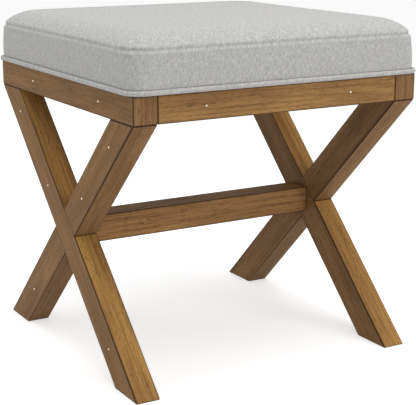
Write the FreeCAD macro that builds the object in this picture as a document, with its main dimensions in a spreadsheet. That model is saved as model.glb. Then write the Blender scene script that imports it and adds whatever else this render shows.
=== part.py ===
import FreeCAD, Part
import math
import os
import re
import Sketcher

# Vanity stool: two X frames of halved legs under square rails, a stretcher between the
# crossings, and a boxed cushion with a welt at its foot.
# Millimetres. X is the width, Y the depth with the front at -Y, Z is up from the floor,
# and the origin is on the floor in the middle of the four feet.

# Driving sizes: alias, size, what it is
SIZES = (
    ("frame_width", 432, "outside of one side rail to outside of the other"),
    ("frame_depth", 432, "length of a side rail, front to back"),
    ("rail_underside", 358.3, "floor to the underside of the rails"),
    ("rail_height", 36, "height of the rails and aprons"),
    ("side_thickness", 33.6, "thickness of the side rails and of the legs under them"),
    ("leg_width", 45, "width of a leg, square to its length"),
    ("apron_thickness", 22, "thickness of the front and back aprons"),
    ("stretcher_height", 38, "height of the stretcher"),
    ("stretcher_depth", 39.4, "front to back size of the stretcher"),
    ("stretcher_setback", 6.8, "middle of the stretcher behind the middle of the crossing"),
    ("edge_ease", 1.2, "rounding on the edges of the wood"),
    ("dowel_diameter", 8, "all dowels"),
    ("long_dowel", 46, "dowel of the aprons and the stretcher"),
    ("short_dowel", 38, "dowel between a leg and its rail"),
    ("dowel_chamfer", 1, "chamfer on a dowel's ends"),
    ("dowel_end_gap", 1, "glue space at the end of a dowel's bore"),
    ("bore_play", 0.2, "bore less the pin, dowel or shank in it"),
    ("leg_dowel_wall", 6.4, "wood between the outer dowel's bore and the leg's sloping side, level"),
    ("leg_dowel_pitch", 22, "between the two dowels of a leg"),
    ("apron_dowel_pitch", 18, "between the two dowels of an apron's end"),
    ("stretcher_dowel_pitch", 20, "between the two dowels of the stretcher's end"),
    ("pin_head", 3, "diameter of a pin's head"),
    ("pin_dome", 0.8, "height of a pin's head"),
    ("pin_shank", 1.2, "diameter of a pin's shank"),
    ("pin_length", 16, "length of a pin under its head"),
    ("rail_pin_front", 98, "front end of a side rail to its front pin"),
    ("rail_pin_back", 119, "back end of a side rail to its back pin"),
    ("apron_pin_left", 68, "left end of an apron to its pin"),
    ("apron_pin_right", 75, "right end of an apron to its pin"),
    ("front_foot_pin", 70, "along a front-foot leg from its foot to the low pin"),
    ("front_foot_mid_pin", 77, "along a front-foot leg from the crossing to the pin above it"),
    ("front_foot_top_pin", 47, "along a front-foot leg from the top pin to its top"),
    ("back_foot_pin", 87, "along a back-foot leg from its foot to the low pin"),
    ("back_foot_mid_pin", 84, "along a back-foot leg from the crossing to the pin above it"),
    ("back_foot_top_pin", 52, "along a back-foot leg from the top pin to its top"),
    ("block_leg", 56, "a corner block's sides along the rail and the apron"),
    ("block_clip", 8, "width left at a corner block's tips"),
    ("block_height", 30, "height of a corner block"),
    ("screw_shank", 4.2, "diameter of the wood screws"),
    ("screw_head", 8, "diameter of their round heads"),
    ("screw_head_height", 2.6, "height of their heads"),
    ("screw_head_top", 4.8, "diameter of the flat on top of their heads"),
    ("screw_tip", 5, "length of their points"),
    ("screw_recess", 1.5, "depth of the cross recess"),
    ("recess_width", 1.1, "width of one slot of the cross"),
    ("recess_length", 4.4, "length of one slot of the cross"),
    ("block_screw", 30, "length of a corner block's screw under the head"),
    ("seat_screw", 40, "length of a seat screw under the head"),
    ("head_bore", 9.5, "counterbore for a block screw's head"),
    ("block_screw_wood", 16, "wood of the block under a screw's head"),
    ("block_screw_side", 36, "inner corner of the frame to a block screw"),
    ("block_screw_lift", 6, "the two screws of a block lie this far over and under its middle"),
    ("seat_screw_side", 16, "inner corner of the frame to the seat screw, along both sides"),
    ("dust_cloth", 0.6, "thickness of the dust cover"),
    ("dust_inset", 8, "edge of the dust cover inside the frame's faces"),
    ("cover_cloth", 1.2, "thickness of the cover where it turns in under the board"),
    ("turn_in", 30, "width of the cover that turns in, from the frame's face"),
    ("turn_out", 0.2, "outside of the turned cover beyond the frame's face"),
    ("board_thickness", 12, "plywood seat board"),
    ("board_inset", 1.5, "edge of the board inside the frame's faces"),
    ("board_corner", 18, "corner radius of the board"),
    ("welt_diameter", 6.8, "covered cord round the foot of the cushion"),
    ("welt_overhang", 4, "middle of the welt beyond the frame's faces"),
    ("welt_corner", 20, "corner radius of the welt's middle line"),
    ("soft_gap", 0.4, "between one soft layer and the next"),
    ("cover_thickness", 1.6, "side band and top panel with their backing"),
    ("foot_overhang", 2.8, "side band beyond the frame's faces where it meets the welt"),
    ("foot_corner", 21, "corner radius of the side band there"),
    ("band_height", 46.9, "foot of the side band to the seam between it and the top panel"),
    ("seam_overhang", 3.5, "that seam beyond the frame's faces"),
    ("seam_corner", 33.5, "corner radius at that seam"),
    ("band_bulge", 3.5, "outward swell of the side band between welt and seam"),
    ("draw_in", 2, "the sides pull in this far between the corners at the seam"),
    ("foot_draw_in", 0.5, "the sides pull in this far between the corners at the welt"),
    ("crown_roll", 32, "width over which the top rolls up from the seam"),
    ("crown_rise", 17.5, "height of that roll"),
    ("dome_rise", 5.8, "further rise of the top to its middle"),
    ("crown_corner", 62, "corner radius of the top's level lines, as a share of their width"),
    ("wadding_thickness", 6, "polyester wadding between foam and cover"),
)

# What follows from the driving sizes
PLACES = (
    ("half_x", "frame_width / 2"),
    ("half_y", "frame_depth / 2"),
    ("leg_diagonal", "rail_underside ^ 2 + frame_depth ^ 2"),
    ("leg_slack", "rail_underside ^ 2 - leg_width ^ 2"),
    ("leg_root", "(leg_width ^ 4 * frame_depth ^ 2 + leg_slack * leg_width ^ 2 * leg_diagonal) ^ 0.5"),
    ("leg_footprint", "(leg_root - leg_width ^ 2 * frame_depth) / leg_slack"),
    ("leg_run", "frame_depth - leg_footprint"),
    ("leg_length", "(rail_underside ^ 2 + leg_run ^ 2) ^ 0.5"),
    ("apron_length", "frame_width - 2 * side_thickness"),
    ("rail_top", "rail_underside + rail_height"),
    ("dowel_bore", "dowel_diameter + bore_play"),
    ("leg_dowel_depth", "short_dowel / 2 + dowel_end_gap"),
    ("leg_dowel_edge", "leg_dowel_depth * leg_run / rail_underside + dowel_bore / 2 + leg_dowel_wall"),
    ("screw_bore", "screw_shank + bore_play"),
    ("pin_bore", "pin_shank + bore_play"),
    ("turn_level", "rail_top + dust_cloth"),
    ("board_level", "turn_level + cover_cloth"),
    ("board_top", "board_level + board_thickness"),
    ("welt_level", "rail_top + soft_gap / 2 + welt_diameter / 2"),
    ("band_foot", "welt_level + welt_diameter / 2 + soft_gap"),
    ("seam_height", "band_foot + band_height"),
    ("foam_start", "(board_top + soft_gap - band_foot) / band_height"),
)

# Two sketch points nearer than this are one, and a cut smaller than this in mm3 is none
TOUCH = 0.01

doc = FreeCAD.newDocument("VanityStool")
sizes = doc.addObject("Spreadsheet::Sheet", "Sizes")
for row, (alias, size, note) in enumerate(SIZES, start=1):
    sizes.set(f"A{row}", note)
    sizes.set(f"B{row}", str(size))
    sizes.setAlias(f"B{row}", alias)

HOME = {alias: "Sizes" for alias, size, note in SIZES}
HOME.update({alias: "Places" for alias, formula in PLACES})


def bound(text):
    """An expression in which each alias is given the name of its sheet."""
    return re.sub(r"[a-z_]{3,}", lambda word: f"{HOME[word[0]]}.{word[0]}", str(text))


places = doc.addObject("Spreadsheet::Sheet", "Places")
for row, (alias, formula) in enumerate(PLACES, start=1):
    places.set(f"A{row}", "=" + bound(formula).replace("Places.", ""))
    places.setAlias(f"A{row}", alias)
doc.recompute()


def number(text):
    """The present value of an expression."""
    result = sizes.evalExpression(bound(text))
    return float(getattr(result, "Value", result))


# Sketches and features
def new_body(label):
    body = doc.addObject("PartDesign::Body", label)
    body.Label = label
    return body


def place(item, x="0", y="0", z="0"):
    for axis, text in (("x", x), ("y", y), ("z", z)):
        item.setExpression(f"Placement.Base.{axis}", bound(text))


def new_sketch(body, name, plane, offset="0"):
    """A sketch on one of the body's origin planes, moved along that plane's normal."""
    sketch = body.newObject("Sketcher::SketchObject", name)
    role = f"{plane}_Plane"
    support = next(item for item in body.Origin.OriginFeatures if item.Role == role)
    sketch.AttachmentSupport = [(support, "")]
    sketch.MapMode = "FlatFace"
    sketch.setExpression("AttachmentOffset.Base.z", bound(offset))
    return sketch


def limit(sketch, kind, *parts, text):
    """A dimension of the sketch, bound to the sheets."""
    index = sketch.addConstraint(Sketcher.Constraint(kind, *parts, number(text)))
    sketch.setExpression(f"Constraints[{index}]", bound(text))


def hold(sketch, item, point, x, y):
    """Holds a point at x, y from the sketch's origin."""
    for kind, text, axis in (("DistanceX", x, -2), ("DistanceY", y, -1)):
        if number(text) == 0:
            sketch.addConstraint(Sketcher.Constraint("PointOnObject", item, point, axis))
        elif number(text) > 0:
            limit(sketch, kind, -1, 1, item, point, text=text)
        else:
            limit(sketch, kind, item, point, -1, 1, text=f"-({text})")


def add_polygon(sketch, corners):
    """A closed outline of straight lines through corners given as expressions."""
    points = [FreeCAD.Vector(number(x), number(y), 0) for x, y in corners]
    lines = [
        sketch.addGeometry(Part.LineSegment(point, points[(i + 1) % len(points)]), False)
        for i, point in enumerate(points)
    ]
    for i, line in enumerate(lines):
        sketch.addConstraint(Sketcher.Constraint("Coincident", line, 2, lines[(i + 1) % len(lines)], 1))
        hold(sketch, line, 1, *corners[i])


def add_rectangle(sketch, half_x, half_y):
    """A rectangle round the sketch's origin."""
    signs = ((-1, -1), (1, -1), (1, 1), (-1, 1))
    add_polygon(sketch, [(f"{sx} * {half_x}", f"{sy} * {half_y}") for sx, sy in signs])


def add_circle(sketch, x, y, diameter):
    centre = FreeCAD.Vector(number(x), number(y), 0)
    circle = sketch.addGeometry(Part.Circle(centre, FreeCAD.Vector(0, 0, 1), number(diameter) / 2), False)
    hold(sketch, circle, 3, x, y)
    limit(sketch, "Diameter", circle, text=diameter)


def add_rounded(sketch, half_x, half_y, corner, draw="0"):
    """A rectangle with round corners, whose sides pull in by draw between the corners."""
    up = FreeCAD.Vector(0, 0, 1)
    wide, deep, radius = number(half_x), number(half_y), number(corner)
    signs = ((1, 1), (-1, 1), (-1, -1), (1, -1))
    corners = []
    for quarter, (sx, sy) in enumerate(signs):
        centre = FreeCAD.Vector(sx * (wide - radius), sy * (deep - radius), 0)
        start = quarter * math.pi / 2
        arc = Part.ArcOfCircle(Part.Circle(centre, up, radius), start, start + math.pi / 2)
        item = sketch.addGeometry(arc, False)
        corners.append(item)
        hold(sketch, item, 3, f"{sx} * ({half_x} - ({corner}))", f"{sy} * ({half_y} - ({corner}))")
        limit(sketch, "Radius", item, text=corner)
        first, last = ("Horizontal", "Vertical") if quarter % 2 == 0 else ("Vertical", "Horizontal")
        sketch.addConstraint(Sketcher.Constraint(first, item, 1, item, 3))
        sketch.addConstraint(Sketcher.Constraint(last, item, 2, item, 3))
    for quarter, item in enumerate(corners):
        following = corners[(quarter + 1) % 4]
        begin = sketch.getPoint(item, 2)
        end = sketch.getPoint(following, 1)
        if number(draw) == 0:
            side = sketch.addGeometry(Part.LineSegment(begin, end), False)
            sketch.addConstraint(Sketcher.Constraint("Coincident", item, 2, side, 1))
            sketch.addConstraint(Sketcher.Constraint("Coincident", side, 2, following, 1))
            continue
        middle = (begin + end) * 0.5
        middle -= middle * (number(draw) / middle.Length)
        side = sketch.addGeometry(Part.Arc(begin, middle, end), False)
        run = f"({half_x if quarter % 2 == 0 else half_y} - ({corner}))"
        limit(sketch, "Radius", side, text=f"({run} ^ 2 + ({draw}) ^ 2) / (2 * ({draw}))")
        # The circle of a side that pulls in runs the other way, so its ends change places
        near, far = (1, 2) if sketch.getPoint(side, 1).distanceToPoint(begin) < TOUCH else (2, 1)
        sketch.addConstraint(Sketcher.Constraint("Coincident", item, 2, side, near))
        sketch.addConstraint(Sketcher.Constraint("Coincident", side, far, following, 1))


def pad(body, sketch, length):
    """Adds the sketch's area along its normal."""
    feature = body.newObject("PartDesign::Pad", f"{sketch.Name}_pad")
    feature.Profile = sketch
    feature.setExpression("Length", bound(length))
    doc.recompute()


def pocket(body, sketch, depth, along_normal):
    """Cuts the sketch's area away, along its normal or against it."""
    doc.recompute()
    before = body.Shape.Volume
    feature = body.newObject("PartDesign::Pocket", f"{sketch.Name}_cut")
    feature.Profile = sketch
    feature.setExpression("Length", bound(depth))
    feature.Reversed = along_normal
    doc.recompute()
    if body.Shape.Volume > before - TOUCH:
        raise RuntimeError(f"{feature.Name} cuts nothing")


def ease_edges(body):
    """Rounds every edge of the body a little."""
    whole = body.Tip
    feature = body.newObject("PartDesign::Fillet", f"{body.Name}_ease")
    feature.Base = (whole, [""])
    feature.UseAllEdges = True
    feature.setExpression("Radius", bound("edge_ease"))
    doc.recompute()


def bores(body, name, face, spots, diameter, depth):
    """Round holes into a face, given as plane, place on its normal and which way is in."""
    plane, offset, inward = face
    sketch = new_sketch(body, name, plane, offset)
    for x, y in spots:
        add_circle(sketch, x, y, diameter)
    pocket(body, sketch, depth, inward)


def loft(body, kind, sections):
    """Straight facets from each sketch to the next, from the lowest to the highest."""
    feature = body.newObject(f"PartDesign::{kind}Loft", f"{sections[0].Name}_{kind}")
    feature.Profile = sections[0]
    feature.Sections = [(section, [""]) for section in sections[1:]]
    feature.Ruled = True
    doc.recompute()


def side_face(side, at):
    """The YZ face whose outward normal points to side, at that distance from the origin."""
    return ("YZ", f"{side} * ({at})", side < 0)


def end_face(side, at):
    """The XZ face whose outward normal points to side. That plane's own normal is -Y."""
    return ("XZ", f"{-side} * ({at})", side > 0)


# Square rails
LEG_TOP_DOWELS = ("half_y - leg_dowel_edge", "half_y - leg_dowel_edge - leg_dowel_pitch")
SIDES = (("left", -1), ("right", 1))
ENDS = (("front", -1), ("back", 1))
BLOCK_MIDDLE = "rail_height - block_height / 2"
SCREW_REACH = "block_screw - block_screw_wood + bore_play"


def side_rail(name, side):
    body = new_body(f"{name}_side_rail")
    outline = new_sketch(body, f"{name}_rail_outline", "XY")
    half = "side_thickness / 2"
    add_rectangle(outline, half, "half_y")
    pad(body, outline, "rail_height")
    ease_edges(body)
    spots = [("0", f"{end} * ({spot})") for end in (-1, 1) for spot in LEG_TOP_DOWELS]
    bores(body, f"{name}_rail_leg_bores", ("XY", "0", True), spots, "dowel_bore", "leg_dowel_depth")
    inner = side_face(-side, half)
    spots = [
        (f"{end} * (half_y - apron_thickness / 2)", f"rail_height / 2 + {step} * apron_dowel_pitch / 2")
        for end in (-1, 1) for step in (-1, 1)
    ]
    bores(body, f"{name}_rail_apron_bores", inner, spots, "dowel_bore", "long_dowel / 2 + dowel_end_gap")
    spots = [
        (f"{end} * (half_y - apron_thickness - block_screw_side)", f"{BLOCK_MIDDLE} + block_screw_lift")
        for end in (-1, 1)
    ]
    bores(body, f"{name}_rail_screw_bores", inner, spots, "screw_bore", SCREW_REACH)
    spots = [("rail_pin_front - half_y", "rail_height / 2"), ("half_y - rail_pin_back", "rail_height / 2")]
    bores(body, f"{name}_rail_pin_bores", side_face(side, half), spots, "pin_bore", "pin_length + bore_play")
    place(body, x=f"{side} * (half_x - {half})", z="rail_underside")
    return body


def apron(name, end):
    body = new_body(f"{name}_apron")
    outline = new_sketch(body, f"{name}_apron_outline", "XY")
    wide, deep = "apron_length / 2", "apron_thickness / 2"
    add_rectangle(outline, wide, deep)
    pad(body, outline, "rail_height")
    ease_edges(body)
    for side_name, side in SIDES:
        spots = [("0", f"rail_height / 2 + {step} * apron_dowel_pitch / 2") for step in (-1, 1)]
        bores(body, f"{name}_apron_{side_name}_bores", side_face(side, wide), spots, "dowel_bore",
              "long_dowel / 2 + dowel_end_gap")
    level = f"{BLOCK_MIDDLE} - block_screw_lift"
    spots = [(f"{side} * ({wide} - block_screw_side)", level) for side in (-1, 1)]
    bores(body, f"{name}_apron_screw_bores", end_face(-end, deep), spots, "screw_bore", SCREW_REACH)
    level = "rail_height / 2"
    spots = [(f"apron_pin_left - {wide}", level), (f"{wide} - apron_pin_right", level)]
    bores(body, f"{name}_apron_pin_bores", end_face(end, deep), spots, "pin_bore", "pin_length + bore_play")
    place(body, y=f"{end} * (half_y - {deep})", z="rail_underside")
    return body


# Legs and stretcher
def leg_outline(slope):
    """A leg's outline in Y and Z. Its foot is at the front where slope is 1."""
    return [
        (f"{-slope} * half_y", "0"),
        (f"{-slope} * (half_y - leg_footprint)", "0"),
        (f"{slope} * half_y", "rail_underside"),
        (f"{slope} * (half_y - leg_footprint)", "rail_underside"),
    ]


def leg_pin_spots(slope):
    """The three pins on a leg's middle line, from the foot up, in Y and Z."""
    family = "front_foot" if slope > 0 else "back_foot"
    runs = (f"{family}_pin", f"(leg_length / 2 + {family}_mid_pin)", f"(leg_length - {family}_top_pin)")
    return [
        (f"{slope} * ({run} * leg_run / leg_length - leg_run / 2)", f"{run} * rail_underside / leg_length")
        for run in runs
    ]


def stretcher_dowel_spot(step):
    """Depth of one of the two dowels in each end of the stretcher."""
    return f"stretcher_setback + {step} * stretcher_dowel_pitch / 2"


def leg(name, side, slope):
    """A halved leg. The front-foot leg keeps its -X half at the crossing, the other its +X half."""
    label = f"{name}_leg_{'front' if slope > 0 else 'back'}_foot"
    body = new_body(label)
    half = "side_thickness / 2"
    outline = new_sketch(body, f"{label}_outline", "YZ", f"-{half}")
    add_polygon(outline, leg_outline(slope))
    pad(body, outline, "side_thickness")
    ease_edges(body)
    halving = new_sketch(body, f"{label}_halving", "YZ")
    add_polygon(halving, leg_outline(-slope))
    pocket(body, halving, half, slope > 0)
    spots = [("0", f"{slope} * ({spot})") for spot in LEG_TOP_DOWELS]
    bores(body, f"{label}_top_bores", ("XY", "rail_underside", False), spots, "dowel_bore",
          "leg_dowel_depth")
    spots = [(stretcher_dowel_spot(step), "rail_underside / 2") for step in (-1, 1)]
    bores(body, f"{label}_stretcher_bores", side_face(-side, half), spots, "dowel_bore",
          "long_dowel / 2 + dowel_end_gap")
    bores(body, f"{label}_pin_bores", side_face(side, half), leg_pin_spots(slope), "pin_bore",
          "pin_length + bore_play")
    place(body, x=f"{side} * (half_x - {half})")
    return body


def stretcher():
    body = new_body("stretcher")
    outline = new_sketch(body, "stretcher_outline", "YZ", "-apron_length / 2")
    deep, high = "stretcher_depth / 2", "stretcher_height / 2"
    add_rectangle(outline, deep, high)
    pad(body, outline, "apron_length")
    ease_edges(body)
    for side_name, side in SIDES:
        spots = [(f"{step} * stretcher_dowel_pitch / 2", "0") for step in (-1, 1)]
        bores(body, f"stretcher_{side_name}_bores", side_face(side, "apron_length / 2"), spots, "dowel_bore",
              "long_dowel / 2 + dowel_end_gap")
    place(body, y="stretcher_setback", z="rail_underside / 2")
    return body


# Corner blocks, each in a corner of the seat frame
def corner_block(side_name, side, end_name, end):
    """A three-cornered block. Its own origin is the inner corner of the rail and the apron."""
    label = f"corner_block_{end_name}_{side_name}"
    body = new_body(label)
    outline = new_sketch(body, f"{label}_outline", "XY")
    tips = [("0", "0"), ("block_leg", "0"), ("block_leg", "block_clip"), ("block_clip", "block_leg"),
            ("0", "block_leg")]
    add_polygon(outline, [(f"{-side} * {x}", f"{-end} * {y}") for x, y in tips])
    pad(body, outline, "block_height")
    middle = "block_height / 2"
    for name, diameter, wood in (("bore", "screw_bore", "0"), ("head", "head_bore", "block_screw_wood")):
        plane, offset, inward = side_face(side, "0")
        sketch = new_sketch(body, f"{label}_side_{name}", plane, f"{-side} * {wood}")
        add_circle(sketch, f"{-end} * block_screw_side", f"{middle} + block_screw_lift", diameter)
        pocket(body, sketch, "block_leg", inward)
        plane, offset, inward = end_face(end, "0")
        sketch = new_sketch(body, f"{label}_end_{name}", plane, f"{end} * {wood}")
        add_circle(sketch, f"{-side} * block_screw_side", f"{middle} - block_screw_lift", diameter)
        pocket(body, sketch, "block_leg", inward)
    spot = [(f"{-side} * seat_screw_side", f"{-end} * seat_screw_side")]
    bores(body, f"{label}_seat_bore", ("XY", "0", True), spot, "screw_bore", "block_height")
    place(body, x=f"{side} * apron_length / 2", y=f"{end} * (half_y - apron_thickness)",
          z="rail_top - block_height")
    return body


# Turned hardware, made once and set in place as links
def turned(name, outline, dome=None):
    """A solid turned about Z from its half outline, with a domed head where dome gives one."""
    body = new_body(name)
    sketch = new_sketch(body, f"{name}_outline", "XZ")
    if dome is None:
        add_polygon(sketch, outline)
    else:
        add_domed(sketch, outline, *dome)
    feature = body.newObject("PartDesign::Revolution", f"{name}_turned")
    feature.Profile = sketch
    feature.ReferenceAxis = (sketch, ["V_Axis"])
    feature.Angle = 360
    doc.recompute()
    return body


def add_domed(sketch, outline, radius, height):
    """The outline's open line, closed by an arc from its last point to its first."""
    points = [FreeCAD.Vector(number(x), number(y), 0) for x, y in outline]
    lines = [sketch.addGeometry(Part.LineSegment(a, b), False) for a, b in zip(points, points[1:])]
    for line, spot in zip(lines, outline):
        hold(sketch, line, 1, *spot)
    hold(sketch, lines[-1], 2, *outline[-1])
    for line, following in zip(lines, lines[1:]):
        sketch.addConstraint(Sketcher.Constraint("Coincident", line, 2, following, 1))
    ball = f"(({radius}) ^ 2 + ({height}) ^ 2) / (2 * ({height}))"
    halfway = number(radius) / 2
    level = number(ball) - number(height) - math.sqrt(number(ball) ** 2 - halfway ** 2)
    arc = sketch.addGeometry(Part.Arc(points[-1], FreeCAD.Vector(halfway, level, 0), points[0]), False)
    near, far = (1, 2) if sketch.getPoint(arc, 1).distanceToPoint(points[-1]) < TOUCH else (2, 1)
    sketch.addConstraint(Sketcher.Constraint("Coincident", lines[-1], 2, arc, near))
    sketch.addConstraint(Sketcher.Constraint("Coincident", arc, far, lines[0], 1))
    limit(sketch, "Radius", arc, text=ball)


def dowel(name, length):
    radius, end = "dowel_diameter / 2", f"{length} / 2"
    return turned(name, [
        ("0", f"-{end}"), (f"{radius} - dowel_chamfer", f"-{end}"), (radius, f"dowel_chamfer - {end}"),
        (radius, f"{end} - dowel_chamfer"), (f"{radius} - dowel_chamfer", end), ("0", end),
    ])


def screw(name, length):
    """A round-head screw with its shank up from Z 0 and its head below."""
    shank, head = "screw_shank / 2", "screw_head / 2"
    body = turned(name, [
        ("0", "-screw_head_height"), ("screw_head_top / 2", "-screw_head_height"),
        (head, "-screw_head_height / 2"), (head, "0"), (shank, "0"), (shank, f"{length} - screw_tip"),
        ("0", length),
    ])
    cross = new_sketch(body, f"{name}_cross", "XY", "-screw_head_height")
    near, far = "recess_width / 2", "recess_length / 2"
    arm = [(far, f"-{near}"), (far, near), (near, near), (near, far), (f"-{near}", far), (f"-{near}", near),
           (f"-{far}", near), (f"-{far}", f"-{near}"), (f"-{near}", f"-{near}"), (f"-{near}", f"-{far}"),
           (near, f"-{far}"), (near, f"-{near}")]
    add_polygon(cross, arm)
    pocket(body, cross, "screw_recess", True)
    return body


def pin(name):
    """A headed pin with its shank up from Z 0 and its domed head below."""
    head, shank = "pin_head / 2", "pin_shank / 2"
    outline = [(head, "0"), (shank, "0"), (shank, "pin_length - pin_shank"), ("0", "pin_length"),
               ("0", "-pin_dome")]
    return turned(name, outline, dome=(head, "pin_dome"))


TURNS = {
    "+X": FreeCAD.Rotation(FreeCAD.Vector(0, 1, 0), 90),
    "-X": FreeCAD.Rotation(FreeCAD.Vector(0, 1, 0), -90),
    "+Y": FreeCAD.Rotation(FreeCAD.Vector(1, 0, 0), -90),
    "-Y": FreeCAD.Rotation(FreeCAD.Vector(1, 0, 0), 90),
    "+Z": FreeCAD.Rotation(),
}


def group(label, model, spots):
    """Copies of one piece as separate solids of one sub-part: way it points, then x, y, z."""
    copies = []
    for index, (way, x, y, z) in enumerate(spots, start=1):
        copy = doc.addObject("App::Link", f"{label}_{index}")
        copy.LinkedObject = model
        copy.Placement = FreeCAD.Placement(FreeCAD.Vector(), TURNS[way])
        place(copy, x, y, z)
        copies.append(copy)
    compound = doc.addObject("Part::Compound", label)
    compound.Label = label
    compound.Links = copies
    return compound


def hardware():
    """Dowels, screws and pins in their bores."""
    long_model = dowel("long_dowel_model", "long_dowel")
    short_model = dowel("short_dowel_model", "short_dowel")
    block_model = screw("block_screw_model", "block_screw")
    seat_model = screw("seat_screw_model", "seat_screw")
    pin_model = pin("pin_model")
    joint_x = "apron_length / 2"
    apron_dowels = [
        ("+X", f"{side} * {joint_x}", f"{end} * (half_y - apron_thickness / 2)",
         f"rail_underside + rail_height / 2 + {step} * apron_dowel_pitch / 2")
        for side in (-1, 1) for end in (-1, 1) for step in (-1, 1)
    ]
    leg_dowels = [
        ("+Z", f"{side} * (half_x - side_thickness / 2)", f"{end} * ({spot})", "rail_underside")
        for side in (-1, 1) for end in (-1, 1) for spot in LEG_TOP_DOWELS
    ]
    stretcher_dowels = [
        ("+X", f"{side} * {joint_x}", stretcher_dowel_spot(step), "rail_underside / 2")
        for side in (-1, 1) for step in (-1, 1)
    ]
    block_middle = f"rail_underside + {BLOCK_MIDDLE}"
    block_screws = []
    seat_screws = []
    for side in (-1, 1):
        for end in (-1, 1):
            corner_x, corner_y = f"{side} * {joint_x}", f"{end} * (half_y - apron_thickness)"
            block_screws.append((
                "+X" if side > 0 else "-X", f"{corner_x} - {side} * block_screw_wood",
                f"{corner_y} - {end} * block_screw_side", f"{block_middle} + block_screw_lift",
            ))
            block_screws.append((
                "+Y" if end > 0 else "-Y", f"{corner_x} - {side} * block_screw_side",
                f"{corner_y} - {end} * block_screw_wood", f"{block_middle} - block_screw_lift",
            ))
            seat_screws.append((
                "+Z", f"{corner_x} - {side} * seat_screw_side", f"{corner_y} - {end} * seat_screw_side",
                "rail_top - block_height",
            ))
    groups = [
        group("apron_dowels", long_model, apron_dowels),
        group("leg_dowels", short_model, leg_dowels),
        group("stretcher_dowels", long_model, stretcher_dowels),
        group("corner_block_screws", block_model, block_screws),
        group("seat_screws", seat_model, seat_screws),
    ]
    rail_middle = "rail_underside + rail_height / 2"
    for name, side in SIDES:
        spots = leg_pin_spots(1) + leg_pin_spots(-1)
        spots += [("rail_pin_front - half_y", rail_middle), ("half_y - rail_pin_back", rail_middle)]
        way = "-X" if side > 0 else "+X"
        frame_pins = [(way, f"{side} * half_x", y, z) for y, z in spots]
        groups.append(group(f"{name}_frame_pins", pin_model, frame_pins))
    apron_pins = [
        ("-Y" if end > 0 else "+Y", x, f"{end} * half_y", rail_middle)
        for end in (-1, 1)
        for x in (f"apron_pin_left - {joint_x}", f"{joint_x} - apron_pin_right")
    ]
    groups.append(group("apron_pins", pin_model, apron_pins))
    return groups


# Seat board, dust cover and turned-in cover
SEAT_SCREW_X = "(apron_length / 2 - seat_screw_side)"
SEAT_SCREW_Y = "(half_y - apron_thickness - seat_screw_side)"
SEAT_SCREW_SPOTS = [
    (f"{side} * {SEAT_SCREW_X}", f"{end} * {SEAT_SCREW_Y}") for side in (-1, 1) for end in (-1, 1)
]


def seat_board():
    body = new_body("seat_board")
    outline = new_sketch(body, "seat_board_outline", "XY")
    add_rounded(outline, "half_x - board_inset", "half_y - board_inset", "board_corner")
    pad(body, outline, "board_thickness")
    depth = "seat_screw - block_height - dust_cloth - cover_cloth + bore_play"
    bores(body, "seat_board_bores", ("XY", "0", True), SEAT_SCREW_SPOTS, "screw_bore", depth)
    place(body, z="board_level")
    return body


def dust_cover():
    body = new_body("dust_cover")
    outline = new_sketch(body, "dust_cover_outline", "XY")
    add_rounded(outline, "half_x - dust_inset", "half_y - dust_inset", "board_corner - dust_inset")
    pad(body, outline, "dust_cloth")
    bores(body, "dust_cover_holes", ("XY", "0", True), SEAT_SCREW_SPOTS, "screw_bore", "dust_cloth")
    place(body, z="rail_top")
    return body


def cover_turnover():
    """The cover's foot: up round the edge of the board and in under it."""
    body = new_body("cover_turnover")
    flat = new_sketch(body, "turnover_flat", "XY")
    outer_corner = "board_corner + board_inset + turn_out"
    add_rounded(flat, "half_x + turn_out", "half_y + turn_out", outer_corner)
    add_rounded(flat, "half_x - turn_in", "half_y - turn_in", "cover_cloth")
    pad(body, flat, "cover_cloth")
    skirt = new_sketch(body, "turnover_skirt", "XY", "cover_cloth")
    add_rounded(skirt, "half_x + turn_out", "half_y + turn_out", outer_corner)
    inner = "turn_out - cover_cloth"
    add_rounded(skirt, f"half_x + {inner}", f"half_y + {inner}", f"{outer_corner} - cover_cloth")
    pad(body, skirt, "band_foot - soft_gap - board_level")
    place(body, z="turn_level")
    return body


def welt_cord():
    body = new_body("welt_cord")
    route = new_sketch(body, "welt_route", "XY")
    add_rounded(route, "half_x + welt_overhang", "half_y + welt_overhang", "welt_corner")
    section = new_sketch(body, "welt_section", "XZ", "-(half_y + welt_overhang - welt_corner)")
    add_circle(section, "half_x + welt_overhang", "0", "welt_diameter")
    feature = body.newObject("PartDesign::AdditivePipe", "welt_round")
    feature.Profile = section
    feature.Spine = route
    feature.Mode = "Frenet"
    doc.recompute()
    place(body, z="welt_level")
    return body


# The cushion: each layer is the outer form moved in by an inset
# Shares of the band's height and of the crown's roll and width at which a section is drawn
BAND_SHARES = (0, 0.13, 0.28, 0.43, 0.57, 0.72, 0.87, 1)
CROWN_SHARES = (0, 0.03, 0.09, 0.18, 0.3, 0.46, 0.7, 1)
PLATEAU_SHARES = (0.73, 0.56, 0.3)
# Exponents of the roll's and the dome's curves, the dome's share of its rise where the roll
# ends, and how much of the corners' radius the roll takes away
CROWN_FULLNESS = 1.56
DOME_FULLNESS = 5.35
DOME_AT_ROLL = 0.57
CORNER_LOSS = 0.3


def band_section(body, name, share, inset):
    """The outline of the sides at a share of the height from the welt to the seam."""
    swell = f"band_bulge * 4 * ({share}) * (1 - ({share}))"
    lean = f"(seam_overhang - foot_overhang) * ({share})"
    out = f"(foot_overhang + {lean} + {swell} - ({inset}))"
    corner = f"(foot_corner + (seam_corner - foot_corner) * ({share}) - ({inset}))"
    sketch = new_sketch(body, name, "XY", f"band_foot + band_height * ({share})")
    draw = f"(foot_draw_in + (draw_in - foot_draw_in) * ({share}))"
    add_rounded(sketch, f"(half_x + {out})", f"(half_y + {out})", corner, draw)
    return sketch


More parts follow.
